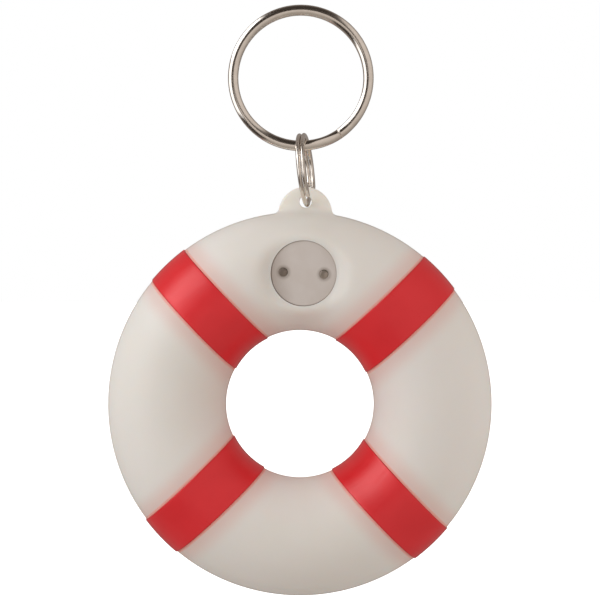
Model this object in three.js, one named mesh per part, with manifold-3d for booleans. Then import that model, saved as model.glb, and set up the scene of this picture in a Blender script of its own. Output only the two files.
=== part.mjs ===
// A floating key ring: a hollow life ring of soft plastic with a water-activated light plugged
// into its rim, hung on a small split ring from a larger one.
//
// Millimetres, +Z up, front towards -Y. The origin is the point the key ring hangs from, the top
// of its opening, so everything is below it. Rings and round parts turn about the Y axis.

import * as THREE from 'three';
import { mergeVertices } from 'three/addons/utils/BufferGeometryUtils.js';
import Module from 'manifold-3d';

const wasm = await Module();
wasm.setup();

// ---- Driving dimensions -------------------------------------------------------------------

const FIT_GAP = 0.05; // between two pieces that touch on the real object

// A split ring is a flat wire wound in two layers. Angles are in degrees round the ring from +X
// towards +Z. The wire runs one arc in the first layer, crosses over, and runs on in the second.
const KEY_RING = {
  outerRadius: 12.5, wireWide: 1.75, wireThick: 0.95,
  startAngle: -55, firstArc: 332, crossArc: 28, secondArc: 332,
  steps: 80, sides: 4,
};
const LINK_RING = {
  outerRadius: 6.35, wireWide: 0.95, wireThick: 0.75,
  startAngle: 230, firstArc: -257, crossArc: -38, secondArc: -322,
  steps: 66, sides: 4,
};
const LINK_YAW = 7.5; // degrees that the link ring stands turned from square to the key ring
const LINK_LEAN = 6; // degrees that its top leans towards -X
const LINK_OFFSET = 0.85; // how far its centre is from the middle plane, towards +X
const SWING_ROOM = 1.22; // from the key ring's wire centre to the inside of the link ring

const TUBE_RADIUS = 10.15;
const TUBE_PATH_RADIUS = 22.93;
const WALL = 1.3;
const TUBE_SIDES = 20;
const TURN_STEPS = 48;
const CAVITY_SIDES = 14;
const CAVITY_STEPS = 32;
const BUOY_CENTRE = new THREE.Vector3(-0.16, 0, -66.82);
const BUOY_TILT = 1.6; // degrees that the life ring hangs turned, its top towards +X

const TAB = {
  radius: 4.6, thick: 2.2, centreHeight: 32.78, holeHeight: 34.85, holeRadius: 1.05,
  footHeight: 32.2, flare: 1.1,
};

const BAND = { width: 7.75, proud: 0.25, clear: 0.06, angles: {
  upper_right: 45, upper_left: 135, lower_left: 225, lower_right: 315,
} };

// The light module sits on its own axis, parallel to Y, through the crest of the tube. Depths
// are Y values from the tube's middle plane: the front face is the most negative.
const MODULE_HEIGHT = 22.6;
const MODULE_TURN = 1.4; // degrees that the module is turned in its seat
const SEAT = {
  rimDepth: -8.5, landRadius: 6, dishRadius: 8.3, bossRadius: 7.6, bossDepth: -4.9,
  boreRadius: 5.56, ledgeDepth: -5.5, innerBoreRadius: 5, backDepth: -3.8, collarRadius: 6.5,
};
const CAP = { radius: 5.46, thick: 1, faceDepth: -8.3 };
const CONTACT = { spread: 6.85, headRadius: 0.7, headThick: 0.5, sunk: 0.12, shankRadius: 0.3 };
const CONTACT_HOLE_RADIUS = 0.78;
const CASE = {
  flangeRadius: 5.4, flangeThick: 0.95, radius: 4.85, boreRadius: 4.4, backDepth: 5.35, backThick: 0.7,
};
const SEAL = { pathRadius: 5.2, sectionRadius: 0.27 };
const BOARD = { radius: 4.25, thick: 0.8, depth: -6.4 };
const CHIP = { radius: 1.7, height: 0.6 };
const RESISTOR = { long: 1.6, wide: 0.8, thick: 0.45, height: -2.9 };
const SPRING = { bottomRadius: 2.7, topRadius: 1.7, wireRadius: 0.15, turns: 2.5, length: 1.45 };
const CELL = { radius: 3.95, thick: 3.6, capRadius: 3.1, capThick: 0.3, edge: 0.3 };
const PLATE = { radius: 3.3, thick: 0.2, armWide: 2, armRadius: 4.13, armThick: 0.2 };
const LED = {
  flangeRadius: 1.9, flangeThick: 0.8, radius: 1.5, bodyLength: 2, depth: 3.8,
};
const LEAD = { size: 0.3, pitch: 2.54 };

const ROUND_STEPS = 32; // segments round the module's larger turned parts
const SMALL_STEPS = 14; // and round its small ones

// ---- Worked out from those ----------------------------------------------------------------

const rad = THREE.MathUtils.degToRad;
const wirePathRadius = (ring) => ring.outerRadius - ring.wireWide / 2;
const layerShift = (ring) => ring.wireThick + FIT_GAP;

const keyCentreZ = -(KEY_RING.outerRadius - KEY_RING.wireWide);
const keyWireZ = keyCentreZ - wirePathRadius(KEY_RING);
const linkInnerRadius = LINK_RING.outerRadius - LINK_RING.wireWide;
const linkCentreZ = keyWireZ + SWING_ROOM - linkInnerRadius * Math.cos(rad(LINK_LEAN));

const boardBack = BOARD.depth + BOARD.thick;
const frontCellDepth = boardBack + SPRING.length + FIT_GAP;
const rearCellDepth = frontCellDepth + CELL.thick + FIT_GAP;
const plateDepth = rearCellDepth + CELL.thick + FIT_GAP;

// ---- Materials ----------------------------------------------------------------------------

const finish = (color, roughness, metalness = 0) =>
  new THREE.MeshStandardMaterial({ color, roughness, metalness });

const MATERIALS = {
  nickel: finish(0xcfc4b8, 0.12, 1),
  milky: finish(0xe6e0d8, 0.5),
  red: finish(0xc9393b, 0.45),
  frosted: finish(0xbdb3aa, 0.55),
  clear: finish(0xd9ddd9, 0.3),
  steel: finish(0xb9b5ae, 0.3, 1),
  board: finish(0x2c6a45, 0.5),
  epoxy: finish(0x17171a, 0.35),
  ceramic: finish(0x24242a, 0.5),
  lens: finish(0xf2f0ea, 0.15),
  rubber: finish(0x4a4a4c, 0.7),
};

// ---- Shape helpers ------------------------------------------------------------------------

const MERGE_WITHIN = 1e-4;

/** A closed geometry as a solid that can be joined and cut. */
function toSolid(geometry) {
  const bare = geometry.clone();
  bare.deleteAttribute('normal');
  bare.deleteAttribute('uv');
  const merged = mergeVertices(bare, MERGE_WITHIN);
  const corners = merged.getIndex().array;
  const kept = [];
  for (let i = 0; i < corners.length; i += 3) {
    const [a, b, c] = [corners[i], corners[i + 1], corners[i + 2]];
    if (a !== b && b !== c && c !== a) kept.push(a, b, c);
  }
  return new wasm.Manifold(new wasm.Mesh({
    numProp: 3,
    vertProperties: new Float32Array(merged.getAttribute('position').array),
    triVerts: new Uint32Array(kept),
  }));
}

function toGeometry(solid) {
  const { vertProperties, triVerts } = solid.getMesh();
  const geometry = new THREE.BufferGeometry();
  geometry.setAttribute('position', new THREE.BufferAttribute(vertProperties, 3));
  geometry.setIndex(new THREE.BufferAttribute(triVerts, 1));
  geometry.computeVertexNormals();
  return geometry;
}

/** Turns an outline of [radius, y] points about the Y axis. It runs from low y, outside, to high y. */
function turned(outline, steps = ROUND_STEPS) {
  return new THREE.LatheGeometry(outline.map(([r, y]) => new THREE.Vector2(r, y)), steps);
}

/** A turned part with straight walls: a stack of [radius, fromY, toY] steps. */
function turnedStack(stack, steps = ROUND_STEPS) {
  const outline = [[0, stack[0][1]]];
  for (const [radius, from, to] of stack) outline.push([radius, from], [radius, to]);
  outline.push([0, stack.at(-1)[2]]);
  return turned(outline, steps);
}

/** A ring of round section about the Y axis. */
function turnedRing(pathRadius, sectionRadius, sides, steps) {
  const outline = [];
  for (let i = 0; i <= sides; i++) {
    const angle = 2 * Math.PI * (i % sides) / sides;
    outline.push([pathRadius + sectionRadius * Math.cos(angle), sectionRadius * Math.sin(angle)]);
  }
  return turned(outline, steps);
}

/** Extrudes an outline drawn in X and Z by a thickness centred on y = 0. */
function slab(shape, thick, curveSegments = 12) {
  const geometry = new THREE.ExtrudeGeometry(shape, { depth: thick, bevelEnabled: false, curveSegments });
  return geometry.translate(0, 0, -thick / 2).rotateX(Math.PI / 2);
}

/** Extrudes an outline drawn in X and Y by a width centred on z = 0. */
function strip(points, wide) {
  const shape = new THREE.Shape(points.map(([x, y]) => new THREE.Vector2(x, y)));
  const geometry = new THREE.ExtrudeGeometry(shape, { depth: wide, bevelEnabled: false });
  return geometry.translate(0, 0, -wide / 2);
}

function part(name, geometry, material) {
  const mesh = new THREE.Mesh(geometry, material);
  mesh.name = name;
  return mesh;
}

// ---- Split rings --------------------------------------------------------------------------

/** The wire's centre line, about the Y axis, with frames that keep its width radial. */
class SplitRingCurve extends THREE.Curve {
  constructor(ring) {
    super();
    this.ring = ring;
  }

  angleAt(t) {
    const { startAngle, firstArc, crossArc, secondArc } = this.ring;
    return rad(startAngle + t * (firstArc + crossArc + secondArc));
  }

  getPoint(t, target = new THREE.Vector3()) {
    const { firstArc, crossArc, secondArc } = this.ring;
    const travelled = t * (firstArc + crossArc + secondArc);
    const crossed = THREE.MathUtils.smoothstep((travelled - firstArc) / crossArc, 0, 1);
    const angle = this.angleAt(t);
    const radius = wirePathRadius(this.ring);
    const y = (crossed - 0.5) * layerShift(this.ring);
    return target.set(radius * Math.cos(angle), y, radius * Math.sin(angle));
  }

  computeFrenetFrames(segments) {
    const frames = { tangents: [], normals: [], binormals: [] };
    for (let i = 0; i <= segments; i++) {
      const angle = this.angleAt(this.getUtoTmapping(i / segments));
      const normal = new THREE.Vector3(Math.cos(angle), 0, Math.sin(angle));
      const binormal = new THREE.Vector3(0, Math.sign(this.ring.firstArc), 0);
      frames.tangents.push(new THREE.Vector3().crossVectors(normal, binormal));
      frames.normals.push(normal);
      frames.binormals.push(binormal);
    }
    return frames;
  }
}

function splitRing(ring) {
  const section = new THREE.Shape();
  section.absellipse(0, 0, ring.wireWide / 2, ring.wireThick / 2, 0, 2 * Math.PI);
  return new THREE.ExtrudeGeometry(section, {
    steps: ring.steps, curveSegments: ring.sides, extrudePath: new SplitRingCurve(ring),
  });
}

function keyRing() {
  const mesh = part('key_ring', splitRing(KEY_RING), MATERIALS.nickel);
  mesh.position.z = keyCentreZ;
  return mesh;
}

function linkRing() {
  const mesh = part('link_ring', splitRing(LINK_RING), MATERIALS.nickel);
  mesh.position.set(LINK_OFFSET, 0, linkCentreZ);
  mesh.rotation.set(0, rad(-LINK_LEAN), rad(90 - LINK_YAW), 'YZX');
  return mesh;
}

// ---- Life ring ----------------------------------------------------------------------------

function tubeSolid(radius, sides = TUBE_SIDES, steps = TURN_STEPS) {
  return toSolid(turnedRing(TUBE_PATH_RADIUS, radius, sides, steps));
}

const onModuleAxis = (geometry) => toSolid(geometry.translate(0, 0, MODULE_HEIGHT));

/** The rounded hanging tab, its foot flared into the crown of the ring, with its hole. */
function tabShape() {
  const { radius, centreHeight, footHeight, flare, holeHeight, holeRadius } = TAB;
  const join = Math.asin(flare / radius);
  const shape = new THREE.Shape();
  shape.moveTo(-radius - flare, footHeight);
  shape.quadraticCurveTo(-radius, footHeight + flare / 2, -radius, centreHeight + flare);
  shape.absarc(0, centreHeight, radius, Math.PI - join, join, true);
  shape.quadraticCurveTo(radius, footHeight + flare / 2, radius + flare, footHeight);
  const hole = new THREE.Path();
  hole.absarc(0, holeHeight, holeRadius, 0, 2 * Math.PI, false);
  shape.holes.push(hole);
  return shape;
}

/** The moulded ring: a hollow tube with a flat seat and a collar for the light, and a tab. */
function ringBody() {
  const { rimDepth, landRadius, dishRadius, bossRadius, bossDepth, boreRadius, ledgeDepth } = SEAT;
  const { innerBoreRadius, backDepth, collarRadius } = SEAT;
  const crest = -TUBE_RADIUS;

  const boss = onModuleAxis(turned([
    [0, rimDepth], [landRadius, rimDepth], [bossRadius, bossDepth], [0, bossDepth],
  ]));
  const dish = onModuleAxis(turned([
    [0, 2 * crest], [dishRadius, 2 * crest], [dishRadius, crest], [landRadius, rimDepth], [0, rimDepth],
  ]));
  const outer = tubeSolid(TUBE_RADIUS).add(boss).subtract(dish);
  const collar = onModuleAxis(turned([
    [0, 2 * crest], [dishRadius, 2 * crest], [dishRadius, rimDepth + WALL],
    [collarRadius, ledgeDepth], [collarRadius, backDepth], [0, backDepth],
  ])).intersect(outer);
  const bore = onModuleAxis(turnedStack([
    [boreRadius, 2 * crest, ledgeDepth], [innerBoreRadius, ledgeDepth, backDepth + WALL],
  ]));
  const cavity = tubeSolid(TUBE_RADIUS - WALL, CAVITY_SIDES, CAVITY_STEPS);
  const tab = toSolid(slab(tabShape(), TAB.thick, 8));

  const body = outer.add(tab).subtract(cavity).add(collar).subtract(bore);
  return part('ring_body', toGeometry(body), MATERIALS.milky);
}

/** A sleeve round the tube, cut by two parallel planes so that it is one width all round. */
function band(name, angle) {
  const sleeve = tubeSolid(TUBE_RADIUS + BAND.proud).subtract(tubeSolid(TUBE_RADIUS + BAND.clear));
  const reach = TUBE_PATH_RADIUS + 2 * TUBE_RADIUS;
  const cut = new THREE.BoxGeometry(reach, reach, BAND.width);
  cut.translate(reach / 2, 0, 0).rotateY(-rad(angle));
  return part(name, toGeometry(sleeve.intersect(toSolid(cut))), MATERIALS.red);
}

// ---- Light module -------------------------------------------------------------------------

const sides = { left: -1, right: 1 };

function drilled(geometry, radius) {
  const drill = turnedStack([[radius, -TUBE_RADIUS, TUBE_RADIUS]], SMALL_STEPS);
  let solid = toSolid(geometry);
  for (const side of Object.values(sides)) {
    solid = solid.subtract(toSolid(drill.clone().translate(side * CONTACT.spread / 2, 0, 0)));
  }
  return toGeometry(solid);
}

function sensorCap() {
  const blank = turnedStack([[CAP.radius, CAP.faceDepth, CAP.faceDepth + CAP.thick]]);
  return part('sensor_cap', drilled(blank, CONTACT_HOLE_RADIUS), MATERIALS.frosted);
}

/** A nail-headed pin, sunk in the cap and soldered through the circuit board. */
function contact(side) {
  const headFront = CAP.faceDepth + CONTACT.sunk;
  const headBack = headFront + CONTACT.headThick;
  const pin = turnedStack([
    [CONTACT.headRadius, headFront, headBack], [CONTACT.shankRadius, headBack, boardBack + FIT_GAP],
  ], SMALL_STEPS);
  return part(`contact_${side}`, pin.translate(sides[side] * CONTACT.spread / 2, 0, 0), MATERIALS.steel);
}

/** The cup that holds the works, with a flange at its mouth and a hole for the lamp at its back. */
function moduleCase() {
  const { flangeRadius, flangeThick, radius, boreRadius, backDepth, backThick } = CASE;
  const mouth = CAP.faceDepth + CAP.thick + FIT_GAP;
  const lampHole = LED.radius + FIT_GAP;
  return part('module_case', turned([
    [boreRadius, mouth], [flangeRadius, mouth], [flangeRadius, mouth + flangeThick],
    [radius, mouth + flangeThick], [radius, backDepth], [lampHole, backDepth],
    [lampHole, backDepth - backThick], [boreRadius, backDepth - backThick], [boreRadius, mouth],
  ]), MATERIALS.clear);
}

function sealRing() {
  const ring = turnedRing(SEAL.pathRadius, SEAL.sectionRadius, 8, ROUND_STEPS);
  const depth = SEAT.ledgeDepth - SEAL.sectionRadius - FIT_GAP;
  return part('seal_ring', ring.translate(0, depth, 0), MATERIALS.rubber);
}

function circuitBoard() {
  const blank = turnedStack([[BOARD.radius, BOARD.depth, boardBack]]);
  return part('circuit_board', drilled(blank, CONTACT.shankRadius + FIT_GAP), MATERIALS.board);
}

/** The bare chip under its drop of black resin, on the board's front. */
function controllerChip() {
  const outline = [];
  const arcSteps = 4;
  for (let i = 0; i <= arcSteps; i++) {
    const angle = Math.PI / 2 * i / arcSteps;
    outline.push([CHIP.radius * Math.sin(angle), -CHIP.height * Math.cos(angle)]);
  }
  outline.push([0, 0]);
  const drop = turned(outline, SMALL_STEPS).translate(0, BOARD.depth - FIT_GAP, 0);
  return part('controller_chip', drop, MATERIALS.epoxy);
}

function resistor() {
  const { long, wide, thick, height } = RESISTOR;
  const box = new THREE.BoxGeometry(long, thick, wide);
  return part('resistor', box.translate(0, BOARD.depth - FIT_GAP - thick / 2, height), MATERIALS.ceramic);
}

/** The cone spring between the board and the front cell. */
function batterySpring() {
  const { bottomRadius, topRadius, wireRadius, turns, length } = SPRING;
  const rise = length - 2 * wireRadius - FIT_GAP;
  const coil = new (class extends THREE.Curve {
    getPoint(t, target = new THREE.Vector3()) {
      const radius = THREE.MathUtils.lerp(bottomRadius, topRadius, t);
      const angle = 2 * Math.PI * turns * t;
      return target.set(radius * Math.cos(angle), rise * t, radius * Math.sin(angle));
    }
  })();
  const wire = new THREE.Shape();
  wire.absarc(0, 0, wireRadius, 0, 2 * Math.PI);
  const options = { steps: 30, curveSegments: 3, extrudePath: coil };
  const geometry = new THREE.ExtrudeGeometry(wire, options);
  return part('battery_spring', geometry.translate(0, boardBack + FIT_GAP + wireRadius, 0), MATERIALS.steel);
}

/** A button cell: the wide can is the rear pole, and the stepped cap at its front the other. */
function cell(name, depth) {
  const { radius, thick, capRadius, capThick, edge } = CELL;
  const can = turned([
    [0, 0], [capRadius, 0], [capRadius, capThick], [radius - edge, capThick], [radius, capThick + edge],
    [radius, thick - edge], [radius - edge, thick], [0, thick],
  ], ROUND_STEPS);
  return part(name, can.translate(0, depth, 0), MATERIALS.steel);
}

/** The plate behind the cells, with an arm that runs forward along them to the board. */
function positivePlate() {
  const { radius, thick, armWide, armRadius, armThick } = PLATE;
  const inside = armRadius - armThick / 2;
  const outside = armRadius + armThick / 2;
  const disc = toSolid(turnedStack([[radius, plateDepth, plateDepth + thick]]));
  const arm = toSolid(strip([
    [0, plateDepth], [inside, plateDepth], [inside, boardBack + FIT_GAP], [outside, boardBack + FIT_GAP],
    [outside, plateDepth + thick], [0, plateDepth + thick],
  ], armWide));
  return part('positive_plate', toGeometry(disc.add(arm)), MATERIALS.steel);
}

/** A round lamp with its flange inside the case and its dome out of the back. */
function ledLens() {
  const { flangeRadius, flangeThick, radius, bodyLength, depth } = LED;
  const shoulder = depth + flangeThick;
  const outline = [
    [0, depth], [flangeRadius, depth], [flangeRadius, shoulder - FIT_GAP], [radius, shoulder],
  ];
  const domeSteps = 5;
  for (let i = 0; i <= domeSteps; i++) {
    const angle = Math.PI / 2 * i / domeSteps;
    outline.push([radius * Math.cos(angle), shoulder + bodyLength + radius * Math.sin(angle)]);
  }
  return part('led_lens', turned(outline, SMALL_STEPS + 2), MATERIALS.lens);
}

/** The short lead bends out onto the plate. */
function anodeLead() {
  const { size, pitch } = LEAD;
  const top = LED.depth - FIT_GAP;
  const low = plateDepth + PLATE.thick + FIT_GAP;
  const x = pitch / 2;
  const foot = 1.2;
  return part('led_anode_lead', strip([
    [x - size / 2, low], [x + foot, low], [x + foot, low + size / 2], [x + size / 2, low + size / 2],
    [x + size / 2, top], [x - size / 2, top],
  ], size), MATERIALS.steel);
}

/** The long lead bends out past the plate and runs forward beside the cells to the board. */
function cathodeLead() {
  const { size, pitch } = LEAD;
  const top = LED.depth - FIT_GAP;
  const low = plateDepth + PLATE.thick + FIT_GAP;
  const x = -pitch / 2;
  const inside = -(CELL.radius + FIT_GAP);
  const outside = inside - size;
  const end = boardBack + FIT_GAP;
  return part('led_cathode_lead', strip([
    [x + size / 2, low], [x + size / 2, top], [x - size / 2, top], [x - size / 2, low + size / 2],
    [outside, low + size / 2], [outside, end], [inside, end], [inside, low],
  ], size), MATERIALS.steel);
}

function lightModule() {
  const group = new THREE.Group();
  group.add(
    sensorCap(), contact('left'), contact('right'), moduleCase(), sealRing(),
    circuitBoard(), controllerChip(), resistor(), batterySpring(),
    cell('cell_front', frontCellDepth), cell('cell_rear', rearCellDepth), positivePlate(),
    ledLens(), anodeLead(), cathodeLead(),
  );
  group.position.z = MODULE_HEIGHT;
  group.rotation.y = rad(MODULE_TURN);
  return group;
}

// ---- Assembly -----------------------------------------------------------------------------

function lifeRing() {
  const group = new THREE.Group();
  group.add(ringBody(), lightModule());
  for (const [place, angle] of Object.entries(BAND.angles)) group.add(band(`band_${place}`, angle));
  group.position.copy(BUOY_CENTRE);
  group.rotation.y = rad(BUOY_TILT);
  return group;
}

const object = new THREE.Group();
object.add(keyRing(), linkRing(), lifeRing());

export default object;
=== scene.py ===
"""Looks of a floating key ring: a milky plastic life ring with red bands and a water-activated
light in its front, hung on two nickel split rings.

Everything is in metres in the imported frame: +Z up, front towards -Y. Each piece is built in the
local frame of what it belongs to, and its object's matrix puts it in place. The life ring's local
frame has its origin at the ring's centre and +Z towards the hanging tab. The light's local frame
has its origin on the light's axis, in the life ring's middle plane.
"""

import math

import bmesh
import bpy
import numpy as np
from mathutils import Matrix, Vector


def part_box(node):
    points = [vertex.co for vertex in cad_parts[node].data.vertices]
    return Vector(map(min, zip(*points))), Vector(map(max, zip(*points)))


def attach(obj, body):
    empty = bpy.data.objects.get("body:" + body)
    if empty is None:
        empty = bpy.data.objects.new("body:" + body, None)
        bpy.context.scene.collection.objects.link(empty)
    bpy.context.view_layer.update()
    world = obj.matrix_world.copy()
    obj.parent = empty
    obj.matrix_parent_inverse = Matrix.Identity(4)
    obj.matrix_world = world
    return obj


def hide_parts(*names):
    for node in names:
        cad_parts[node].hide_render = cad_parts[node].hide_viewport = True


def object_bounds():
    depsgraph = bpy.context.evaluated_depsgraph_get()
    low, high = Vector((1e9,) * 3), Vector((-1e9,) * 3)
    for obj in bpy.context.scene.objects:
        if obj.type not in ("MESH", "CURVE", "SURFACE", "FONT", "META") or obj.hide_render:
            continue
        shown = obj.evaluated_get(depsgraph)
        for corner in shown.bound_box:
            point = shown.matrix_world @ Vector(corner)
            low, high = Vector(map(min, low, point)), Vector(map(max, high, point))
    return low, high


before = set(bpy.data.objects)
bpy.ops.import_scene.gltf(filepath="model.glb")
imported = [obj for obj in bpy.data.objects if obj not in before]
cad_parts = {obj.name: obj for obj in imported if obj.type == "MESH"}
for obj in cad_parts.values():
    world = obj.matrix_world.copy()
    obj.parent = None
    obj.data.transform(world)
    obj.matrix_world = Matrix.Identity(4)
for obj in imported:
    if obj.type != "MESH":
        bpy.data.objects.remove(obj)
cad_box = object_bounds()

MM = 0.001
QUARTER = math.pi / 2
TAU = 2 * math.pi

# ---- Places, from the frame ------------------------------------------------------------------


def middle(node):
    low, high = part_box(node)
    return (low + high) / 2


def extent(node):
    low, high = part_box(node)
    return high - low


# The life ring is a hollow tube, tilted a little in the picture plane.
BUOY_TILT = math.radians(1.6)
TUBE_RADIUS = extent("ring_body").y / 2
OUTER_RADIUS = extent("ring_body").x / 2
PATH_RADIUS = OUTER_RADIUS - TUBE_RADIUS
WALL = 1.3 * MM
BUOY_CENTRE = Vector((middle("ring_body").x, 0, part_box("ring_body")[0].z + OUTER_RADIUS))
BUOY = Matrix.Translation(BUOY_CENTRE) @ Matrix.Rotation(BUOY_TILT, 4, "Y")

# The light's cap sits in a bore, just behind the bore's rim. Its turn is measured from upright.
MODULE_TURN = math.radians(3.0)
MODULE_HEIGHT = (BUOY.inverted() @ middle("sensor_cap")).z
MODULE = (
    BUOY
    @ Matrix.Translation((0, 0, MODULE_HEIGHT))
    @ Matrix.Rotation(MODULE_TURN - BUOY_TILT, 4, "Y")
)
FACE_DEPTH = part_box("sensor_cap")[0].y
RIM_PROUD = 0.2 * MM
RIM_DEPTH = FACE_DEPTH - RIM_PROUD
CAP_GAP = 0.045 * MM
CAP_RADIUS = extent("sensor_cap").x / 2
BORE_RADIUS = CAP_RADIUS + CAP_GAP
CONTACT_SPREAD = (middle("contact_right") - middle("contact_left")).length

# The large split ring lies in the picture plane. The small one is nearly edge-on to the view.
KEY_RING = Matrix.Translation(middle("key_ring"))
LINK_LEAN = math.radians(6)
LINK_YAW = math.radians(7.5)
LINK_RING = (
    Matrix.Translation(middle("link_ring"))
    @ Matrix.Rotation(-LINK_LEAN, 4, "Y")
    @ Matrix.Rotation(QUARTER - LINK_YAW, 4, "Z")
)

# ---- Mesh helpers ----------------------------------------------------------------------------

MERGE_DISTANCE = 1e-7
SLIVER_LENGTH = 1e-8


def grid_faces(rows, columns, wrap_rows):
    """Faces of a grid of points. Its last column joins its first, and so does its last row where
    rows are wrapped."""
    index = np.arange(rows * columns).reshape(rows, columns)
    if wrap_rows:
        index = np.vstack([index, index[:1]])
    index = np.hstack([index, index[:, :1]])
    corners = [index[:-1, :-1], index[1:, :-1], index[1:, 1:], index[:-1, 1:]]
    return np.stack(corners, -1).reshape(-1, 4)


def new_mesh(name, points, faces):
    mesh = bpy.data.meshes.new(name)
    mesh.from_pydata(np.asarray(points).reshape(-1, 3).tolist(), [], [list(map(int, f)) for f in faces])
    return mesh


def turn_outwards(mesh, merge=True):
    """Turns the faces outwards, once doubled points are merged where asked."""
    shape = bmesh.new()
    shape.from_mesh(mesh)
    if merge:
        bmesh.ops.remove_doubles(shape, verts=shape.verts, dist=MERGE_DISTANCE)
        bmesh.ops.dissolve_degenerate(shape, edges=shape.edges, dist=SLIVER_LENGTH)
    bmesh.ops.recalc_face_normals(shape, faces=shape.faces)
    shape.to_mesh(mesh)
    shape.free()


def shade(mesh, sharp):
    """Shades smooth, apart from edges that turn by more than an angle in degrees."""
    mesh.polygons.foreach_set("use_smooth", [True] * len(mesh.polygons))
    mesh.set_sharp_from_angle(angle=math.radians(sharp))


def closed_mesh(name, points, faces, sharp=40):
    mesh = new_mesh(name, points, faces)
    turn_outwards(mesh)
    shade(mesh, sharp)
    return mesh


def grid_mesh(name, points, wrap_rows=True, sharp=40):
    return closed_mesh(name, points, grid_faces(*points.shape[:2], wrap_rows), sharp)


def lathe(name, outline, steps):
    """Turns an outline of (radius, y) about the Y axis, on which it starts and ends."""
    turn = np.linspace(0, TAU, steps, endpoint=False)
    outline = np.array(outline, float)
    radius, depth = outline[:, :1], outline[:, 1:]
    points = np.stack([radius * np.cos(turn), depth + 0 * turn, radius * np.sin(turn)], -1)
    return grid_mesh(name, points, wrap_rows=False)


def arc(centre, radius, start, end, steps):
    """Points of (radius, y) round a centre, from one angle to another, in degrees."""
    angles = np.radians(np.linspace(start, end, steps + 1))
    return [(centre[0] + radius * math.cos(a), centre[1] + radius * math.sin(a)) for a in angles]


def smoothstep(low, high, x):
    t = np.clip((x - low) / (high - low), 0, 1)
    return t * t * (3 - 2 * t)


def cut(target, tool):
    """A mesh without what a tool takes away, as a new mesh. Both are in the same local frame."""
    first = bpy.data.objects.new("cut_target", target)
    second = bpy.data.objects.new("cut_tool", tool)
    for obj in (first, second):
        bpy.context.scene.collection.objects.link(obj)
    modifier = first.modifiers.new("cut", "BOOLEAN")
    modifier.operation = "DIFFERENCE"
    modifier.object = second
    modifier.solver = "EXACT"
    depsgraph = bpy.context.evaluated_depsgraph_get()
    made = bpy.data.meshes.new_from_object(first.evaluated_get(depsgraph))
    made.name = target.name
    for obj in (first, second):
        bpy.data.objects.remove(obj)
    return made


def add_piece(name, mesh, place, body, finish, node):
    """Puts a piece in place on its body, where it stands for a CAD node."""
    obj = bpy.data.objects.new(name, mesh)
    bpy.context.scene.collection.objects.link(obj)
    mesh.materials.clear()
    mesh.materials.append(finish)
    obj.matrix_world = place
    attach(obj, body)
    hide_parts(node)


# ---- Node graph helper -----------------------------------------------------------------------


class Graph:
    """Builds a node tree by calls that each add a node and return one of its outputs."""

    NOISE_RANGE = (0.3, 0.7)
    EDGE_ON_RANGE = (0.75, 1.0)

    def __init__(self, tree):
        self.tree = tree
        tree.nodes.clear()

    def add(self, kind, inputs=None, output=0, **settings):
        made = self.tree.nodes.new(kind)
        for key, value in settings.items():
            setattr(made, key, value)
        for key, value in (inputs or {}).items():
            if isinstance(value, bpy.types.NodeSocket):
                self.tree.links.new(value, made.inputs[key])
            else:
                made.inputs[key].default_value = value
        return made.outputs[output]

    def math(self, operation, a, b=0.0):
        return self.add("ShaderNodeMath", {0: a, 1: b}, operation=operation)

    def times(self, first, *others):
        for other in others:
            first = self.math("MULTIPLY", first, other)
        return first

    def place(self):
        """Where a point is in its piece's local frame."""
        return self.add("ShaderNodeTexCoord", output="Object")

    def along(self, vector, direction):
        """How far a vector reaches along a direction."""
        return self.add(
            "ShaderNodeVectorMath", {0: vector, 1: direction}, output="Value", operation="DOT_PRODUCT"
        )

    def ramp(self, value, low, high, to_low=0.0, to_high=1.0, kind="SMOOTHSTEP"):
        """Goes from one result to the other as the value goes from low to high."""
        inputs = {"Value": value, "From Min": low, "From Max": high, "To Min": to_low, "To Max": to_high}
        return self.add("ShaderNodeMapRange", inputs, interpolation_type=kind)

    def turned_away(self, amount):
        """Rises to an amount where the surface turns edge-on to the view."""
        facing_away = self.add("ShaderNodeLayerWeight", {"Blend": 0.5}, output="Facing")
        return self.ramp(facing_away, *self.EDGE_ON_RANGE, to_high=amount)

    def from_light_axis(self, place):
        """Distance of a place from the light's axis, in the life ring's frame."""
        flat = self.add("ShaderNodeVectorMath", {0: place, 1: (1, 0, 1)}, operation="MULTIPLY")
        axis = (0, 0, MODULE_HEIGHT)
        return self.add("ShaderNodeVectorMath", {0: flat, 1: axis}, output="Value", operation="DISTANCE")

    def noise(self, scale, detail, vector=None, roughness=0.5):
        """Noise of about this many marks a metre, or a unit of another vector."""
        inputs = {"Scale": scale, "Detail": detail, "Roughness": roughness}
        inputs["Vector"] = vector or self.place()
        return self.add("ShaderNodeTexNoise", inputs)

    def patches(self, scale, detail, low=0.0, high=1.0):
        """Cloudy patches: noise spread out between two values."""
        return self.ramp(self.noise(scale, detail), *self.NOISE_RANGE, low, high)

    def stretch(self, vector, scale):
        return self.add("ShaderNodeMapping", {"Vector": vector, "Scale": scale})

    def mix(self, factor, a, b):
        inputs = {0: factor, 6: a, 7: b}
        return self.add("ShaderNodeMix", inputs, output=2, data_type="RGBA")

    def bump(self, height, distance, normal=None):
        inputs = {"Height": height, "Distance": distance, "Strength": 1.0}
        if normal:
            inputs["Normal"] = normal
        return self.add("ShaderNodeBump", inputs)

    def surface(self, **inputs):
        """Ends a material with a Principled shader. Underscores in names stand for spaces."""
        named = {key.replace("_", " "): value for key, value in inputs.items()}
        self.end(self.add("ShaderNodeBsdfPrincipled", named), "ShaderNodeOutputMaterial")

    def end(self, shader, kind):
        output = self.tree.nodes.new(kind)
        self.tree.links.new(shader, output.inputs["Surface"])


def material(name):
    made = bpy.data.materials.new(name)
    made.use_nodes = True
    return made, Graph(made.node_tree)


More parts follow.
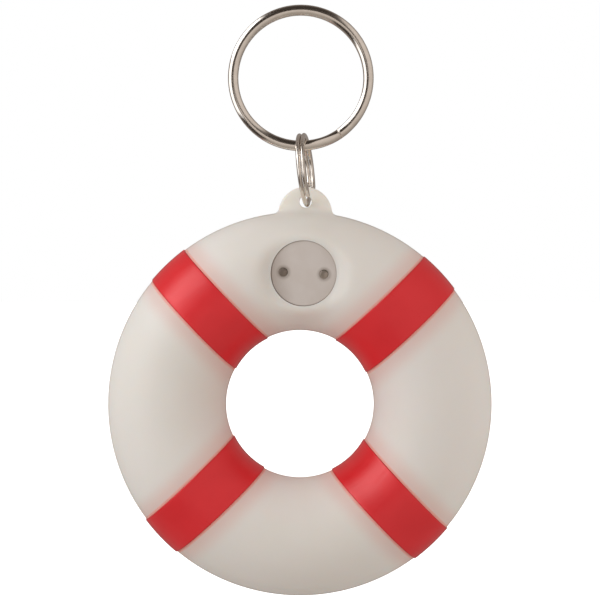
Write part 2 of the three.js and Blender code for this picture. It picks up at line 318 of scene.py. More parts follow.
def srgb(red, green, blue):
    """A colour given as it looks, from 0 to 255, as the linear values that a shader takes."""
    linear = [c / 255 / 12.92 if c <= 10 else ((c / 255 + 0.055) / 1.055) ** 2.4 for c in (red, green, blue)]
    return (*linear, 1.0)


# ---- Materials -------------------------------------------------------------------------------

BAND_HALF_WIDTH = 3.83 * MM
RED_BLEED_REACH = 4.5 * MM
DIAGONAL = math.sqrt(0.5)
STREAKS_PER_MM = (0.12, 5.0, 1)
CAP_SHADED_SIDE = (-0.98, 0, -0.17)
NICKEL_BRIGHT = (0.83, 0.77, 0.71, 1)
NICKEL_WORN = (0.75, 0.69, 0.63, 1)
NICKEL_MARKS_PER_METRE = (500, 2500, 500)


def milky_plastic():
    """Satin white soft plastic, with painted light: painted paler in the thin tab for light through it,
    painted pink light bleeding beside the bands, painted shade round the light's bore, and painted shade
    edge-on."""
    made, g = material("milky_plastic")
    place = g.place()
    colour = g.mix(g.patches(45, 3), srgb(232, 227, 219), srgb(236, 231, 225))

    # Painted light: the thin tab is painted paler, standing in for light that comes through it.
    tab = g.ramp(g.along(place, (0, 0, 1)), OUTER_RADIUS - 0.5 * MM, OUTER_RADIUS + 1.5 * MM)
    colour = g.mix(tab, colour, srgb(243, 239, 230))

    rising = g.math("ABSOLUTE", g.along(place, (-DIAGONAL, 0, DIAGONAL)))
    falling = g.math("ABSOLUTE", g.along(place, (DIAGONAL, 0, DIAGONAL)))
    from_band = g.math("SUBTRACT", g.math("MINIMUM", rising, falling), BAND_HALF_WIDTH)
    # Painted light: a soft pink bleed of red light beside each band, and a paler salmon line at the band's
    # edge.
    painted_red_bleed = g.ramp(from_band, RED_BLEED_REACH, 0.0, to_high=0.38, kind="SMOOTHERSTEP")
    colour = g.mix(painted_red_bleed, colour, srgb(226, 160, 148))
    painted_bleed_line = g.ramp(from_band, 0.5 * MM, 0.25 * MM, to_high=0.85)
    colour = g.mix(painted_bleed_line, colour, srgb(250, 172, 156))

    # Painted shade: a brown line in the gap round the light's cap, in front of the ring.
    bore_gap_shade = g.ramp(g.from_light_axis(place), BORE_RADIUS + 0.05 * MM, BORE_RADIUS + 0.01 * MM)
    in_front = g.ramp(g.along(place, (0, 1, 0)), 0.0, -1 * MM)
    colour = g.mix(g.times(bore_gap_shade, in_front, 0.6), colour, srgb(170, 134, 112))
    # Painted shade: darker where the surface is seen edge-on.
    colour = g.mix(g.turned_away(0.5), colour, srgb(150, 140, 128))

    grain = g.bump(g.noise(5200, 2), 0.004 * MM)
    ripple = g.bump(g.noise(110, 1), 0.03 * MM, grain)
    g.surface(
        Base_Color=colour, Roughness=g.patches(900, 3, 0.46, 0.54), Normal=ripple, IOR=1.48,
        Specular_IOR_Level=0.4, Subsurface_Weight=0.5, Subsurface_Radius=(1.0, 0.75, 0.6),
        Subsurface_Scale=1.6 * MM,
    )
    return made


def red_band():
    """Glossier red soft plastic with faint drag lines across its width, and painted shade along its edges
    and where it is seen edge-on. Its UV is in mm.
    """
    made, g = material("red_band")
    uv = g.add("ShaderNodeTexCoord", output="UV")
    colour = g.mix(g.patches(120, 2), srgb(224, 38, 45), srgb(217, 34, 41))

    from_middle = g.math("ABSOLUTE", g.along(uv, (1, 0, 0)))
    half_width = BAND_HALF_WIDTH / MM
    # Painted shade: darker red along the band's edges and where it is seen edge-on.
    edge = g.ramp(from_middle, half_width - 0.25, half_width - 0.1, to_high=0.2)
    colour = g.mix(edge, colour, srgb(160, 24, 32))
    colour = g.mix(g.turned_away(0.5), colour, srgb(130, 20, 26))

    streaks = g.noise(1.0, 4, g.stretch(uv, STREAKS_PER_MM), roughness=0.6)
    drag = g.bump(streaks, 0.003 * MM)
    grain = g.bump(g.noise(4200, 2), 0.002 * MM, drag)
    g.surface(
        Base_Color=colour, Roughness=g.ramp(streaks, 0.25, 0.75, 0.27, 0.42), Normal=grain, IOR=1.5,
        Specular_IOR_Level=0.5, Subsurface_Weight=0.12, Subsurface_Radius=(1.0, 0.2, 0.15),
        Subsurface_Scale=0.5 * MM,
    )
    return made


def nickel():
    """Bright plated wire with fine wear."""
    made, g = material("nickel")
    colour = g.mix(g.ramp(g.noise(900, 3), 0.3, 0.75), NICKEL_BRIGHT, NICKEL_WORN)
    marks = g.noise(1.0, 3, g.stretch(g.place(), NICKEL_MARKS_PER_METRE))
    dents = g.bump(g.noise(160, 1), 0.004 * MM)
    g.surface(
        Base_Color=colour, Metallic=1.0, Roughness=g.ramp(marks, 0.3, 0.75, 0.12, 0.17), Normal=dents
    )
    return made


def frosted_plastic():
    """Grey see-through plastic, frosted, with painted shade on one side and round the two contacts."""
    made, g = material("frosted_plastic")
    place = g.place()
    colour = g.mix(g.patches(320, 3), srgb(204, 195, 187), srgb(208, 200, 193))
    # Painted shade: darker towards one side of the cap.
    shaded = g.ramp(g.along(place, CAP_SHADED_SIDE), 1.5 * MM, 5.6 * MM, to_high=0.42)
    colour = g.mix(shaded, colour, srgb(140, 125, 113))

    # Painted shade: a dark ring round each contact.
    sideways = g.math("ABSOLUTE", g.along(place, (1, 0, 0)))
    from_contact = g.math("SUBTRACT", sideways, CONTACT_SPREAD / 2)
    up = g.along(place, (0, 0, 1))
    squares = g.math("ADD", g.times(from_contact, from_contact), g.times(up, up))
    painted_contact_shade = g.ramp(g.math("SQRT", squares), 1.45 * MM, 0.75 * MM, to_high=0.6)
    colour = g.mix(painted_contact_shade, colour, srgb(134, 120, 108))
    g.surface(
        Base_Color=colour, Roughness=g.patches(1800, 2, 0.4, 0.5),
        Normal=g.bump(g.noise(5200, 2), 0.004 * MM), IOR=1.49, Subsurface_Weight=0.2,
        Subsurface_Radius=(1.0, 0.9, 0.8), Subsurface_Scale=0.5 * MM,
    )
    return made


def metal(name, light, dark, roughness, grain, relief):
    """A plain metal with cloudy tarnish. Its grain is in marks a metre and its relief in mm."""
    made, g = material(name)
    g.surface(
        Base_Color=g.mix(g.ramp(g.noise(grain / 4, 3), 0.35, 0.7), light, dark),
        Metallic=1.0,
        Roughness=g.patches(grain, 3, roughness - 0.08, roughness + 0.1),
        Normal=g.bump(g.noise(grain, 3), relief * MM),
    )
    return made


def plastic(name, light, dark, roughness, grain, relief, **more):
    """A plain moulded or printed finish with cloudy colour. Grain and relief are as for a metal."""
    made, g = material(name)
    g.surface(
        Base_Color=g.mix(g.patches(grain / 5, 3), light, dark),
        Roughness=g.patches(grain, 3, roughness - 0.06, roughness + 0.06),
        Normal=g.bump(g.noise(grain, 3), relief * MM),
        **more,
    )
    return made


MILKY = milky_plastic()
RED = red_band()
NICKEL = nickel()
FROSTED = frosted_plastic()
# The two contact pins are one steel; the right one's lighter copy is a painted highlight.
DULL_PIN = metal(
    "dull_steel", srgb(158, 146, 136), srgb(108, 96, 87), roughness=0.5, grain=1500, relief=0.06
)
LIGHTER_PIN_COPY = metal(
    "steel_painted_lighter", srgb(196, 184, 173), srgb(112, 100, 90), roughness=0.42, grain=1500, relief=0.06
)
STEEL = metal(
    "cell_steel", srgb(205, 203, 198), srgb(186, 183, 176), roughness=0.3, grain=1500, relief=0.003
)
TIN = metal(
    "tinned_wire", srgb(200, 198, 192), srgb(168, 165, 158), roughness=0.35, grain=2200, relief=0.004
)
CLEAR = plastic(
    "clear_plastic", srgb(226, 229, 226), srgb(214, 218, 214), roughness=0.25, grain=900, relief=0.004,
    Transmission_Weight=0.5,
)
LENS = plastic(
    "lamp_resin", srgb(246, 244, 238), srgb(236, 234, 228), roughness=0.12, grain=700, relief=0.003,
    Transmission_Weight=0.6,
)
BOARD = plastic(
    "board_mask", srgb(44, 108, 70), srgb(34, 92, 58), roughness=0.45, grain=1400, relief=0.008
)
EPOXY = plastic(
    "black_resin", srgb(24, 24, 27), srgb(36, 36, 40), roughness=0.3, grain=1200, relief=0.02
)
CERAMIC = plastic(
    "dark_ceramic", srgb(36, 36, 42), srgb(54, 54, 60), roughness=0.5, grain=3000, relief=0.004
)
RUBBER = plastic(
    "seal_rubber", srgb(74, 74, 77), srgb(60, 60, 63), roughness=0.7, grain=2400, relief=0.01
)

# ---- Split rings -----------------------------------------------------------------------------

WIRE_SIDES = 56
WIRE_FULLNESS = 2.05
WIRE_END_ROUND = 0.1 * MM
END_STEPS = 4
LAYER_GAP = 0.05 * MM
LEAN_SPREAD = 1.5


def rounded_travel(length, end, steps):
    """Places along a wire, and how full its section is there: from 0 at each end to 1 past the
    short rounding of that end."""
    lead = end * (1 - np.cos(np.linspace(0, QUARTER, END_STEPS + 1)[:-1]))
    rounding = np.sqrt(1 - (1 - lead / end) ** 2)
    travelled = np.concatenate([lead, np.linspace(end, length - end, steps), length - lead[::-1]])
    return travelled, np.concatenate([rounding, np.ones(steps), rounding[::-1]])


def superellipse(turn):
    """Points on a unit circle that is filled out a little towards a square."""
    sides = np.array([np.cos(turn), np.sin(turn)])
    return np.sign(sides) * np.abs(sides) ** (2 / WIRE_FULLNESS)


def split_ring(name, outer_radius, wide, thick, start, turns, roll=0):
    """A wire wound in two layers, from a start angle: it turns in the first layer, crosses over, and
    turns in the second. The wire leans outwards by the roll where it crosses. Angles are in degrees.
    """
    first, cross, second = turns
    total = first + cross + second
    radius = outer_radius - wide / 2
    end_travel = math.degrees(WIRE_END_ROUND / radius)
    travelled, full = rounded_travel(abs(total), end_travel, int(abs(total)))
    inset = WIRE_END_ROUND * (1 - full)
    travelled = travelled * np.sign(total)
    angle = np.radians(start + travelled)[:, None]
    crossed = (travelled - first) / cross
    depth = (smoothstep(0, 1, crossed) - 0.5) * (thick + LAYER_GAP)
    lean = math.radians(roll) * np.exp(-((2 * crossed - 1) ** 2) / LEAN_SPREAD)[:, None]

    across, along = superellipse(np.linspace(0, TAU, WIRE_SIDES, endpoint=False))
    reach = (wide / 2 - inset)[:, None] * across
    rise = (thick / 2 - inset)[:, None] * along
    out = radius + reach * np.cos(lean) - rise * np.sin(lean)
    y = depth[:, None] + rise * np.cos(lean) + reach * np.sin(lean)
    points = np.stack([out * np.cos(angle), y, out * np.sin(angle)], -1)

    rows = len(travelled)
    faces = [list(f) for f in grid_faces(rows, WIRE_SIDES, wrap_rows=False)]
    faces.append(list(range(WIRE_SIDES)))
    faces.append(list(range((rows - 1) * WIRE_SIDES, rows * WIRE_SIDES)))
    return closed_mesh(name, points, faces, sharp=50)


key_ring = split_ring(
    "key_ring_wire", extent("key_ring").x / 2, wide=1.75 * MM, thick=0.95 * MM,
    start=-55, turns=(332, 28, 332), roll=15,
)
add_piece("key_ring_wire", key_ring, KEY_RING, "key_ring", NICKEL, "key_ring")

link_ring = split_ring(
    "link_ring_wire", extent("link_ring").z / 2, wide=0.95 * MM, thick=0.75 * MM,
    start=230, turns=(-257, -38, -322),
)
add_piece("link_ring_wire", link_ring, LINK_RING, "link_ring", NICKEL, "link_ring")

# ---- Life ring -------------------------------------------------------------------------------

# The hanging tab is a thin half-round plate that grows out of the ring's crown.
TAB_RADIUS = 4.6 * MM
TAB_HALF_THICK = 1.1 * MM
TAB_CENTRE = 32.78 * MM
TAB_HOLE_HEIGHT = 34.85 * MM
TAB_HOLE_RADIUS = 1.05 * MM
TAB_HOLE_LIP = 0.2 * MM
TAB_HOLE_CLEAR = 0.002 * MM
TAB_EDGE = 0.42 * MM
TAB_FOOT = 1.5 * MM
TAB_FLARE = 1.1 * MM
TAB_COLUMNS = 57
FOOT_SHARE = 0.45
EDGE_SHARE = 0.4
SMALLEST_HEIGHT = 1e-9

# The tab's section takes over from the bare tube's where the tab has risen this far.
FULL_SECTION_HEIGHT = 0.5 * MM
FULL_RISE_HEIGHT = 0.2 * MM

# The light's seat is a flat land round its bore, let into the front of the tube.
LAND_RADIUS = CAP_RADIUS + 0.12 * MM
SEAT_REACH = 1.5 * MM
SEAT_POWER = 1.7
SEAT_FADE = (9 * MM, 11 * MM)
BORE_LIP = 0.07 * MM
LEDGE_DEPTH = FACE_DEPTH + 2.8 * MM
INNER_BORE_RADIUS = 5.0 * MM
COLLAR_BACK = FACE_DEPTH + 4.5 * MM
COLLAR_RADIUS = 6.5 * MM
DRILL_REACH = 2 * TUBE_RADIUS

# The moulding's two halves meet in a fine ridge round the outside and the inside of the tube.
SEAM_HEIGHT = 0.045 * MM
SEAM_WIDTH = 0.16 * MM

# The skin's grid. Turns are in degrees: round the ring from the tab's foot, before they are spread
# to meet at the bottom, and round the tube from its outside.
BESIDE_TAB_TURN, BESIDE_TAB_COLUMNS = 17, 23
BOTTOM_TURN, BOTTOM_COLUMNS = 160, 103
INSIDE_TURN, TUBE_ROWS = 176.5, 83
INNER_SEAM_TURNS = [177.4, 178.1, 178.6, 179.0, 179.5]
AIR_COLUMNS, AIR_ROWS = 160, 56


def tab_outline():
    """The angle of the tab's foot, and the tab's edge as (x, z): a flare that is tangent to the
    ring, the round of the tab, and a flare."""
    ring_to_flare = OUTER_RADIUS + TAB_FLARE
    tab_to_flare = TAB_RADIUS + TAB_FLARE
    z = (ring_to_flare**2 - tab_to_flare**2 + TAB_CENTRE**2) / (2 * TAB_CENTRE)
    x = math.sqrt(ring_to_flare**2 - z**2)
    foot = math.atan2(x, z)
    shoulder = math.atan2(z - TAB_CENTRE, x)
    flare_length = TAB_FLARE * (QUARTER - foot - shoulder)
    half_length = flare_length + TAB_RADIUS * (QUARTER - shoulder)
    right = []
    for s in np.linspace(0, half_length, TAB_COLUMNS // 2 + 1):
        if s <= flare_length:
            a = -QUARTER - foot - s / TAB_FLARE
            right.append((x + TAB_FLARE * math.cos(a), z + TAB_FLARE * math.sin(a)))
        else:
            a = shoulder + (s - flare_length) / TAB_RADIUS
            right.append((TAB_RADIUS * math.cos(a), TAB_CENTRE + TAB_RADIUS * math.sin(a)))
    left = [(-x, z) for x, z in reversed(right[:-1])]
    return foot, right + left


def tab_profile(height):
    """Half of the tab's section, foot to top, as (y, rise) where the tab has this height."""
    foot = min(TAB_FOOT, height * FOOT_SHARE)
    edge = min(TAB_EDGE, height * EDGE_SHARE)
    rows = []
    for a in np.radians(np.linspace(0, 90, 6)):
        rows.append((TAB_HALF_THICK + TAB_FOOT * (1 - math.sin(a)), foot * (1 - math.cos(a))))
    for share in np.linspace(0, 1, 7)[1:-1]:
        rows.append((TAB_HALF_THICK, foot + share * (height - foot - edge)))
    for a in np.radians(np.linspace(0, 90, 6)):
        rows.append((TAB_HALF_THICK - TAB_EDGE * (1 - math.cos(a)), height - edge + edge * math.sin(a)))
    rows.append(((TAB_HALF_THICK - TAB_EDGE) / 2, height))
    return rows


def skin_columns():
    """Where the skin's columns stand round the ring: each is an angle, and the tab's edge there or
    None. They are closest together at the tab, and closer beside it, where the light is."""
    foot, outline = tab_outline()
    under_tab = np.linspace(QUARTER - foot, QUARTER + foot, TAB_COLUMNS)
    near = np.linspace(0, BESIDE_TAB_TURN, BESIDE_TAB_COLUMNS + 1)[1:]
    far = np.linspace(BESIDE_TAB_TURN, BOTTOM_TURN, BOTTOM_COLUMNS + 1)[1:]
    side = np.radians(np.concatenate([near, far]))
    side = side * ((math.pi - foot) / side[-1])
    left = QUARTER + foot + side
    right = QUARTER - foot - side[:-1][::-1]
    return [(a, None) for a in right] + list(zip(under_tab, outline)) + [(a, None) for a in left]


def seam(distance):
    """How far the seam's ridge stands out, at a distance from its middle."""
    return SEAM_HEIGHT * math.exp(-((distance / SEAM_WIDTH) ** 2))


def crown_points(direction, tab_edge):
    """The front half of a column where the tab grows out of it, from its crest to its foot."""
    base = OUTER_RADIUS * direction
    tip = base if tab_edge is None else np.array(tab_edge)
    height = float(np.linalg.norm(tip - base))
    profile = tab_profile(max(height, SMALLEST_HEIGHT))
    bare_tube = np.linspace(TAB_HALF_THICK + TAB_FOOT, 0, len(profile) + 1)[:-1]
    grown = float(smoothstep(0, FULL_SECTION_HEIGHT, height))
    risen = min(1.0, height / FULL_RISE_HEIGHT)
    points = []
    for (y, rise), bare_y in zip(profile, bare_tube):
        y = bare_y + (y - bare_y) * grown
        start = (PATH_RADIUS + math.sqrt(TUBE_RADIUS**2 - y * y)) * direction
        share = rise / max(height, SMALLEST_HEIGHT)
        xz = start + (tip - start) * share * risen + seam(bare_y) * (1 - grown) * direction
        points.append((xz[0], -y, xz[1]))
    crest = tip + SEAM_HEIGHT * (1 - grown) * direction
    return [(crest[0], 0.0, crest[1])] + points[::-1]


def tube_points(direction):
    """The rest of the front half of a column, from the tab's foot to the seam inside the ring."""
    foot_turn = np.degrees(math.asin((TAB_HALF_THICK + TAB_FOOT) / TUBE_RADIUS))
    turns = np.linspace(foot_turn, INSIDE_TURN, TUBE_ROWS + 1)[1:]
    turns = np.concatenate([turns, INNER_SEAM_TURNS])
    points = []
    for v in np.radians(turns):
        r = PATH_RADIUS + (TUBE_RADIUS + seam(TUBE_RADIUS * math.sin(v))) * math.cos(v)
        points.append((r * direction[0], -TUBE_RADIUS * math.sin(v), r * direction[1]))
    inner = PATH_RADIUS - TUBE_RADIUS - SEAM_HEIGHT
    points.append((inner * direction[0], 0.0, inner * direction[1]))
    return points


def seat_weight(from_axis):
    """How much of the flat seat shows in the skin: all at the light's rim, fading away outside."""
    out = np.maximum(from_axis - LAND_RADIUS, 0) / SEAT_REACH
    return np.exp(-(out**SEAT_POWER)) * (1 - smoothstep(*SEAT_FADE, from_axis))


def press_seat(points, seat_depth):
    """Presses the light's seat into the front of a grid of points, down to a depth."""
    x, y, z = points[..., 0], points[..., 1], points[..., 2]
    weight = seat_weight(np.hypot(x, z - MODULE_HEIGHT))
    points[..., 1] = y + (seat_depth - y) * weight * (y < 0)


def outer_surface():
    """The closed outer skin: the tube with the tab drawn out of its crown and the light's seat."""
    columns = []
    for angle, tab_edge in skin_columns():
        direction = np.array([math.cos(angle), math.sin(angle)])
        front = crown_points(direction, tab_edge) + tube_points(direction)
        back = [(x, -y, z) for x, y, z in reversed(front[1:-1])]
        columns.append(front + back)
    points = np.array(columns)
    press_seat(points, RIM_DEPTH)
    return grid_mesh("ring_body_moulding", points, sharp=50)


def cavity():
    """The air inside the tube, with the collar that holds the light left standing in it."""
    around = np.linspace(0, TAU, AIR_COLUMNS, endpoint=False)[:, None]
    turn = np.linspace(0, TAU, AIR_ROWS, endpoint=False)
    radius = TUBE_RADIUS - WALL
    r = PATH_RADIUS + radius * np.cos(turn)
    points = np.stack([r * np.cos(around), -radius * np.sin(turn) + 0 * around, r * np.sin(around)], -1)
    press_seat(points, RIM_DEPTH + WALL)
    air = grid_mesh("ring_air", points)
    outline = [
        (0, -DRILL_REACH), (COLLAR_RADIUS, -DRILL_REACH), (COLLAR_RADIUS, COLLAR_BACK), (0, COLLAR_BACK),
    ]
    collar = lathe("collar", outline, steps=96)
    collar.transform(Matrix.Translation((0, 0, MODULE_HEIGHT)))
    return cut(air, collar)


def bore():
    """The tool for the light's bore: a rounded mouth, a ledge, and a narrower bore behind it."""
    mouth = BORE_RADIUS + BORE_LIP
    end = COLLAR_BACK + WALL
    outline = [(0, -DRILL_REACH), (mouth, -DRILL_REACH)]
    outline += arc((mouth, RIM_DEPTH + BORE_LIP), BORE_LIP, 270, 180, steps=6)
    outline += [
        (BORE_RADIUS, LEDGE_DEPTH), (INNER_BORE_RADIUS, LEDGE_DEPTH), (INNER_BORE_RADIUS, end), (0, end),
    ]
    made = lathe("bore", outline, steps=128)
    made.transform(Matrix.Translation((0, 0, MODULE_HEIGHT)))
    return made


def tab_hole():
    """The tool for the tab's hole, with rounded lips at both faces."""
    face = TAB_HALF_THICK + TAB_HOLE_CLEAR
    mouth = TAB_HOLE_RADIUS + TAB_HOLE_LIP
    outline = [(0, -2 * face), (mouth, -2 * face)]
    outline += arc((mouth, -face + TAB_HOLE_LIP), TAB_HOLE_LIP, 270, 180, steps=5)
    outline += arc((mouth, face - TAB_HOLE_LIP), TAB_HOLE_LIP, 180, 90, steps=5)
    outline += [(mouth, 2 * face), (0, 2 * face)]
    made = lathe("tab_hole", outline, steps=56)
    made.transform(Matrix.Translation((0, 0, TAB_HOLE_HEIGHT)))
    return made


moulding = outer_surface()
for tool in (cavity(), bore(), tab_hole()):
    moulding = cut(moulding, tool)
shade(moulding, sharp=38)
add_piece("ring_body_moulding", moulding, BUOY, "life_ring", MILKY, "ring_body")

# ---- Bands -----------------------------------------------------------------------------------

BAND_PROUD = 0.2 * MM
BAND_CLEAR = 0.01 * MM
BAND_EDGE = 0.18 * MM
BAND_ROWS = 144
BANDS = {"upper_right": 45, "upper_left": 135, "lower_left": 225, "lower_right": 315}


def band_section():
    """The sleeve's section as (across, reach from the tube's middle), with rounded outer edges."""
    half = BAND_HALF_WIDTH
    outside = TUBE_RADIUS + BAND_PROUD
    inside = TUBE_RADIUS + BAND_CLEAR
    crown = [(w, outside) for w in np.linspace(-half + BAND_EDGE, half - BAND_EDGE, 15)]
    shoulder = []
    for a in np.radians(np.linspace(0, 90, 5)[1:]):
        w = half - BAND_EDGE + BAND_EDGE * math.sin(a)
        shoulder.append((w, outside - BAND_EDGE * (1 - math.cos(a))))
    underside = [(w, inside) for w in np.linspace(half, -half, 9)]
    return np.array(crown + shoulder + underside + [(-w, r) for w, r in reversed(shoulder)])


def band(name, angle):
    """A sleeve of one width all round the tube, at an angle round the ring."""
    section = band_section()
    across, reach = section[:, 0][None, :], section[:, 1][None, :]
    turn = np.linspace(0, TAU, BAND_ROWS, endpoint=False)
    from_centre = PATH_RADIUS + reach * np.cos(turn)[:, None]
    out = np.sqrt(from_centre**2 - across**2)
    depth = -reach * np.sin(turn)[:, None]
    a = math.radians(angle)
    x = out * math.cos(a) - across * math.sin(a)
    z = out * math.sin(a) + across * math.cos(a)
    points = np.stack([x, depth, z], -1)
    mesh = new_mesh(name, points, grid_faces(*points.shape[:2], wrap_rows=True))

    width = np.tile(section[:, 0] / MM, len(turn))
    around = np.repeat(turn * TUBE_RADIUS / MM, len(section))
    uv = mesh.uv_layers.new(name="band")
    for loop in mesh.loops:
        uv.data[loop.index].uv = (width[loop.vertex_index], around[loop.vertex_index])
    turn_outwards(mesh, merge=False)
    shade(mesh, sharp=50)
    return mesh


for place, angle in BANDS.items():
    node = f"band_{place}"
    add_piece(f"{node}_sleeve", band(node, angle), BUOY, "life_ring", RED, node)

# ---- Light module ----------------------------------------------------------------------------

CAP_EDGE = 0.05 * MM
CAP_SHIFT = 0.025 * MM
PIN_HOLE_RADIUS = 0.73 * MM
PIN_HOLE_LIP = 0.14 * MM

HEAD_RADIUS = 0.7 * MM
HEAD_THICK = 0.5 * MM
HEAD_EDGE = 0.15 * MM
DOME_HEIGHT = 0.07 * MM
DOME_END = 84
SHANK_RADIUS = 0.3 * MM


def sensor_cap():
    """The light's cap: a disc with two chamfered holes for the contacts."""
    front, back = FACE_DEPTH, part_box("sensor_cap")[1].y
    outline = [(0, front)]
    outline += arc((CAP_RADIUS - CAP_EDGE, front + CAP_EDGE), CAP_EDGE, 270, 360, steps=5)
    outline += [(CAP_RADIUS, back), (0, back)]
    disc = lathe("sensor_cap_disc", outline, steps=128)
    mouth = PIN_HOLE_RADIUS + PIN_HOLE_LIP
    drill_outline = [
        (0, front - MM), (mouth, front - MM), (mouth, front), (PIN_HOLE_RADIUS, front + PIN_HOLE_LIP),
        (PIN_HOLE_RADIUS, back + MM), (0, back + MM),
    ]
    for side in (-1, 1):
        drill = lathe("drill", drill_outline, steps=48)
        drill.transform(Matrix.Translation((side * CONTACT_SPREAD / 2, 0, 0)))
        disc = cut(disc, drill)
    shade(disc, sharp=38)
    return disc


def contact_pin(name):
    """A nail-headed pin with a low dome for a head."""
    front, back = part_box(name)[0].y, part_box(name)[1].y
    outline = []
    for a in np.radians(np.linspace(0, DOME_END, 9)):
        outline.append((HEAD_RADIUS * math.sin(a), front + DOME_HEIGHT * (1 - math.cos(a))))
    outline += [
        (HEAD_RADIUS, front + HEAD_EDGE), (HEAD_RADIUS, front + HEAD_THICK),
        (SHANK_RADIUS, front + HEAD_THICK), (SHANK_RADIUS, back), (0, back),
    ]
    return lathe(name, outline, steps=40)


CAP_PLACE = MODULE @ Matrix.Translation((CAP_SHIFT, 0, CAP_SHIFT))
add_piece(
    "sensor_cap_disc", sensor_cap(), CAP_PLACE, "life_ring", FROSTED, "sensor_cap"
)

for side, sign, finish in (("left", -1, DULL_PIN), ("right", 1, LIGHTER_PIN_COPY)):
    node = f"contact_{side}"
    place = MODULE @ Matrix.Translation((sign * CONTACT_SPREAD / 2, 0, 0))
    add_piece(f"{node}_pin", contact_pin(node), place, "life_ring", finish, node)

# The works behind the cap keep their CAD shapes and get finishes of their own.
CARRIED = {
    "module_case": CLEAR, "seal_ring": RUBBER, "circuit_board": BOARD, "controller_chip": EPOXY,
    "resistor": CERAMIC, "battery_spring": TIN, "cell_front": STEEL, "cell_rear": STEEL,
    "positive_plate": TIN, "led_lens": LENS, "led_anode_lead": TIN, "led_cathode_lead": TIN,
}
for node, finish in CARRIED.items():
    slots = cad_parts[node].data.materials
    for i in range(len(slots)):
        slots[i] = finish

# ---- Stage -----------------------------------------------------------------------------------

FLOOR_DROP = 0.03
FLOOR_HALF_WIDTH = 3.0
LIGHT_DISTANCE = 0.2
LIGHT_SIZE = 0.6 * LIGHT_DISTANCE

CAMERA_DISTANCE = 0.3
CAMERA_PITCH = math.radians(1.45)
CAMERA_SIDE = -0.14 * MM
AIM_RISE = 0.17 * MM
SENSOR_WIDTH = 36
FOCAL_LENGTH = 104.4

EVEN_BEHIND = (0.59, 0.54, 0.5, 1)
EVEN_AHEAD = (0.675, 0.627, 0.6, 1)

# The mirrored room. A panel is lit round an angle in the picture plane, from where it starts
# beside the object to where it stops in front of it.
SOFTBOX = {"angle": 167, "edge": (0.77, 0.82), "stop": (0.93, 0.9), "start": (0.1, 0.45)}
SOFTBOX_COLOUR = (1.6, 1.6, 1.6, 1)
STRIP = {"angle": 139, "edge": (0.93, 0.98), "stop": (0.85, 0.65), "start": (-0.05, 0.35)}
STRIP_COLOUR = (4.4, 4.4, 4.4, 1)
ROOM_BELOW = (0.4, 0.36, 0.32, 1)
ROOM_ABOVE = (0.72, 0.66, 0.61, 1)
ROOM_BEHIND = (0.3, 0.27, 0.25, 1)

# The half of the room round this angle is dark, but not where flat front faces mirror it.
DARK_ANGLE = 148
DARK_BESIDE = (0.22, 0.19, 0.17, 1)
DARK_AHEAD = (0.045, 0.036, 0.03, 1)
MIRRORED_BY_FACES = (-0.052, -0.984, -0.17)

SMALLEST_SIDE = 0.001


def floor():
    """A plain pale floor that only the camera sees."""
    half = FLOOR_HALF_WIDTH
    corners = [(-half, -half, 0), (half, -half, 0), (half, half, 0), (-half, half, 0)]
    mesh = new_mesh("floor", corners, [(0, 1, 2, 3)])
    obj = bpy.data.objects.new("floor", mesh)
    bpy.context.scene.collection.objects.link(obj)
    obj.location.z = cad_box[0].z - FLOOR_DROP
    made, g = material("floor")
    g.surface(
        Base_Color=(0.9, 0.9, 0.9, 1), Roughness=0.9, Specular_IOR_Level=0.0,
        Emission_Color=(1, 1, 1, 1), Emission_Strength=1.0,
    )
    mesh.materials.append(made)
    obj.visible_glossy = False
    obj.visible_diffuse = False
    obj.visible_transmission = False


def soft_light(name, turn, rise, power, colour):
    """A square light aimed at the life ring, seen by matt surfaces only. Turn is from the front."""
    data = bpy.data.lights.new(name, "AREA")
    data.shape = "SQUARE"
    data.size = LIGHT_SIZE
    data.energy = power
    data.color = colour
    turn, rise = math.radians(turn), math.radians(rise)
    away = Vector((math.sin(turn) * math.cos(rise), -math.cos(turn) * math.cos(rise), math.sin(rise)))
    obj = bpy.data.objects.new(name, data)
    bpy.context.scene.collection.objects.link(obj)
    obj.location = BUOY_CENTRE + LIGHT_DISTANCE * away
    obj.rotation_euler = (-away).to_track_quat("-Z", "Y").to_euler()
    obj.visible_camera = False
    obj.visible_glossy = False


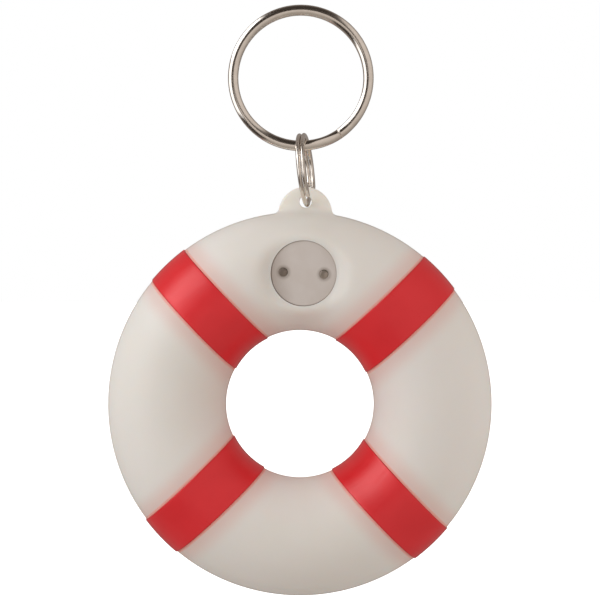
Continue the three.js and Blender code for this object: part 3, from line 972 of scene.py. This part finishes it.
def mirrored_room(g, toward, front):
    """What polished pieces see: warm walls, darker behind the object and dark towards the upper
    left, with a softbox on the left and above it a brighter strip, which lights the bands' shoulders.
    """
    side = g.math("SQRT", g.math("SUBTRACT", 1.0, g.math("MULTIPLY", front, front)))
    side = g.math("MAXIMUM", side, SMALLEST_SIDE)

    def round_angle(degrees, low, high):
        """Rises as a direction turns, in the picture plane, towards an angle from the right."""
        a = math.radians(degrees)
        return g.ramp(g.math("DIVIDE", g.along(toward, (math.cos(a), 0, math.sin(a))), side), low, high)

    def panel(angle, edge, stop, start):
        return g.times(round_angle(angle, *edge), g.ramp(front, *stop), g.ramp(front, *start))

    up = g.along(toward, (0, 0, 1))
    wall = g.mix(g.ramp(up, -0.7, 0.2), ROOM_BELOW, ROOM_ABOVE)
    wall = g.mix(g.ramp(front, 0.8, -0.2), wall, ROOM_BEHIND)

    off_faces = g.ramp(g.along(toward, MIRRORED_BY_FACES), 0.974, 0.964)
    in_dark = g.times(round_angle(DARK_ANGLE, -0.02, 0.1), off_faces, g.ramp(front, -0.6, 0.1))
    dark = g.mix(g.ramp(front, -0.1, 0.7), DARK_BESIDE, DARK_AHEAD)

    room = g.mix(panel(**SOFTBOX), g.mix(in_dark, wall, dark), SOFTBOX_COLOUR)
    return g.mix(panel(**STRIP), room, STRIP_COLOUR)


def studio():
    """The room round the object: mirrored by glossy rays, an even light for matt surfaces, and
    white for the camera."""
    world = bpy.data.worlds.new("studio")
    bpy.context.scene.world = world
    world.use_nodes = True
    g = Graph(world.node_tree)
    toward = g.add("ShaderNodeTexCoord", output="Generated")
    front = g.along(toward, (0, -1, 0))
    even = g.mix(g.ramp(front, -1.0, 1.0, kind="LINEAR"), EVEN_BEHIND, EVEN_AHEAD)
    glossy = g.add("ShaderNodeLightPath", output="Is Glossy Ray")
    seen = g.add("ShaderNodeLightPath", output="Is Camera Ray")
    colour = g.mix(glossy, even, mirrored_room(g, toward, front))
    colour = g.mix(seen, colour, (1, 1, 1, 1))
    g.end(g.add("ShaderNodeBackground", {"Color": colour, "Strength": 1.0}), "ShaderNodeOutputWorld")


def camera():
    """Looks slightly down at the front, with a long lens."""
    data = bpy.data.cameras.new("camera")
    data.sensor_width = SENSOR_WIDTH
    data.lens = FOCAL_LENGTH
    obj = bpy.data.objects.new("camera", data)
    bpy.context.scene.collection.objects.link(obj)
    low, high = cad_box
    back = -CAMERA_DISTANCE * math.cos(CAMERA_PITCH)
    aim = (low.z + high.z) / 2 + AIM_RISE
    obj.location = (CAMERA_SIDE, back, aim + CAMERA_DISTANCE * math.sin(CAMERA_PITCH))
    obj.rotation_euler = (QUARTER - CAMERA_PITCH, 0, 0)
    bpy.context.scene.camera = obj


floor()
studio()
camera()
soft_light("key", turn=-60, rise=20, power=0.127, colour=(0.92, 1.0, 1.08))
soft_light("fill", turn=80, rise=0, power=0.056, colour=(1.0, 1.0, 1.0))
soft_light("top", turn=0, rise=60, power=0.018, colour=(0.95, 1.0, 1.05))

bpy.context.scene.view_settings.view_transform = "Standard"
